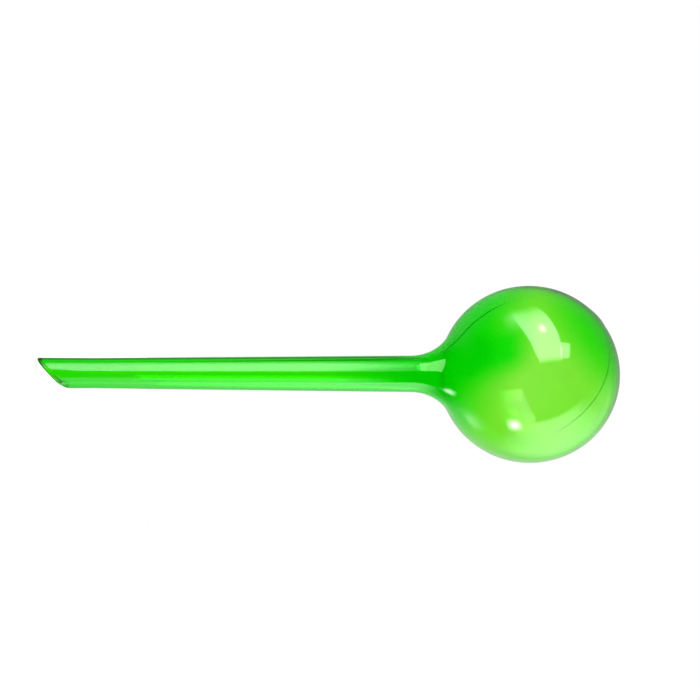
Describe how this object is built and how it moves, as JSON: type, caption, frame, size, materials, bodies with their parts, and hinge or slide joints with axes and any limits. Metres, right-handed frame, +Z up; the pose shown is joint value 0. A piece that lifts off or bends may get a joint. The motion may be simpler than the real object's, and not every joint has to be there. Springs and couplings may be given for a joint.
{
  "type": "watering globe",
  "caption": "Hollow clear green plastic ball on a slender hollow stem with a bevelled open end, filled with water and pushed into pot soil to water a plant slowly.",
  "frame": {"origin": "on the stem's axis, level with the point of the bevelled end", "axes": "+Z up the stem's axis from the bevelled end to the ball, as it stands in soil; -X towards the point of the bevel, +X towards its heel"},
  "size_m": [0.0414, 0.0414, 0.1301],
  "materials": {
    "clear_green_plastic": "transparent bright green, smooth and glossy, as blow-moulded PVC is"
  },
  "bodies": {
    "root": {"spike_tip": "clear_green_plastic", "stem_tube": "clear_green_plastic", "neck_flare": "clear_green_plastic", "globe_front_half": "clear_green_plastic", "globe_rear_half": "clear_green_plastic", "mould_seam": "clear_green_plastic"}
  },
  "joints": []
}
